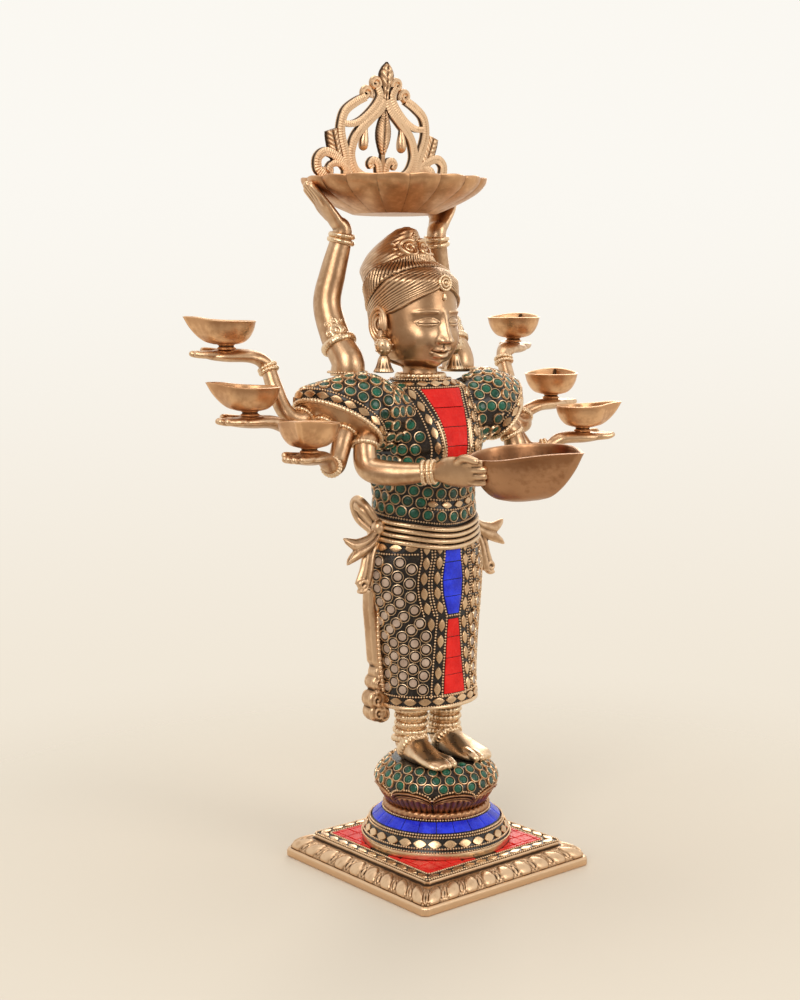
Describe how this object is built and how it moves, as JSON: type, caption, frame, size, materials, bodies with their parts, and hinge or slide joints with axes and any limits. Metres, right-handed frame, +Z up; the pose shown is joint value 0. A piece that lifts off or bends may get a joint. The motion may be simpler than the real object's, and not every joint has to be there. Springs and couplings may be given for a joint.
{
  "type": "deepalakshmi lamp",
  "caption": "Standing brass lamp bearer with many arms, each hand holding a small oil lamp, on a lotus and a square plinth, with red, blue and green stone inlay.",
  "frame": {"origin": "centre of the square plinth, on the plane it stands on", "axes": "+Z up, the figure faces -Y, and its right hand side is -X"},
  "size_m": [0.3266, 0.254, 0.5667],
  "materials": {
    "antique_brass": "aged and hand rubbed, dark in the recesses",
    "bright_brass": "bright on the high spots",
    "satin_brass": "satin, brown",
    "coral_stone": "polished flat tiles",
    "lapis_stone": "polished flat tiles",
    "emerald_stone": "faceted and glossy",
    "taupe_stone": "polished flat discs"
  },
  "bodies": {
    "figure": {"plinth": "antique_brass", "plinth_tiles": "coral_stone", "plinth_chips": "bright_brass", "bead_wires": "bright_brass", "collar": "antique_brass", "collar_tiles": "lapis_stone", "collar_chips": "bright_brass", "lotus": "antique_brass", "lotus_stones": "emerald_stone", "lotus_collets": "bright_brass", "tie_studs": "antique_brass", "tie_nuts": "antique_brass", "tie_washers": "antique_brass", "right_foot": "antique_brass", "left_foot": "antique_brass", "anklets": "bright_brass", "skirt": "antique_brass", "skirt_discs": "taupe_stone", "skirt_collets": "bright_brass", "skirt_blue_tiles": "lapis_stone", "skirt_red_tiles": "coral_stone", "skirt_chips": "bright_brass", "hip_belt": "antique_brass", "right_side_pleat": "antique_brass", "left_side_pleat": "antique_brass", "right_sash": "antique_brass", "left_sash": "antique_brass", "torso": "antique_brass", "right_sleeve": "antique_brass", "left_sleeve": "antique_brass", "blouse_tiles": "coral_stone", "blouse_stones": "emerald_stone", "blouse_collets": "bright_brass", "blouse_chips": "bright_brass", "necklace": "bright_brass", "head": "antique_brass", "hair_knot": "antique_brass", "forehead_jewel": "bright_brass", "ear_ornaments": "bright_brass", "raised_arm_right": "antique_brass", "raised_arm_left": "antique_brass", "top_arm_right": "antique_brass", "top_arm_left": "antique_brass", "middle_arm_right": "antique_brass", "middle_arm_left": "antique_brass", "low_arm_right": "antique_brass", "low_arm_left": "antique_brass", "front_arm_right": "antique_brass", "front_arm_left": "antique_brass", "bangles": "bright_brass", "dish": "satin_brass", "flame_plate": "antique_brass", "front_lamp": "satin_brass"},
    "top_lamp_right_body": {"top_lamp_right": "satin_brass"},
    "top_lamp_left_body": {"top_lamp_left": "satin_brass"},
    "middle_lamp_right_body": {"middle_lamp_right": "satin_brass"},
    "middle_lamp_left_body": {"middle_lamp_left": "satin_brass"},
    "low_lamp_right_body": {"low_lamp_right": "satin_brass"},
    "low_lamp_left_body": {"low_lamp_left": "satin_brass"}
  },
  "joints": [
    {"name": "top_lamp_right_lift", "type": "slide", "parent": "figure", "child": "top_lamp_right_body", "axis": [0, 0, 1], "range_m": [0, 0.014]},
    {"name": "top_lamp_left_lift", "type": "slide", "parent": "figure", "child": "top_lamp_left_body", "axis": [0, 0, 1], "range_m": [0, 0.014]},
    {"name": "middle_lamp_right_lift", "type": "slide", "parent": "figure", "child": "middle_lamp_right_body", "axis": [0, 0, 1], "range_m": [0, 0.014]},
    {"name": "middle_lamp_left_lift", "type": "slide", "parent": "figure", "child": "middle_lamp_left_body", "axis": [0, 0, 1], "range_m": [0, 0.014]},
    {"name": "low_lamp_right_lift", "type": "slide", "parent": "figure", "child": "low_lamp_right_body", "axis": [0, 0, 1], "range_m": [0, 0.014]},
    {"name": "low_lamp_left_lift", "type": "slide", "parent": "figure", "child": "low_lamp_left_body", "axis": [0, 0, 1], "range_m": [0, 0.014]}
  ]
}
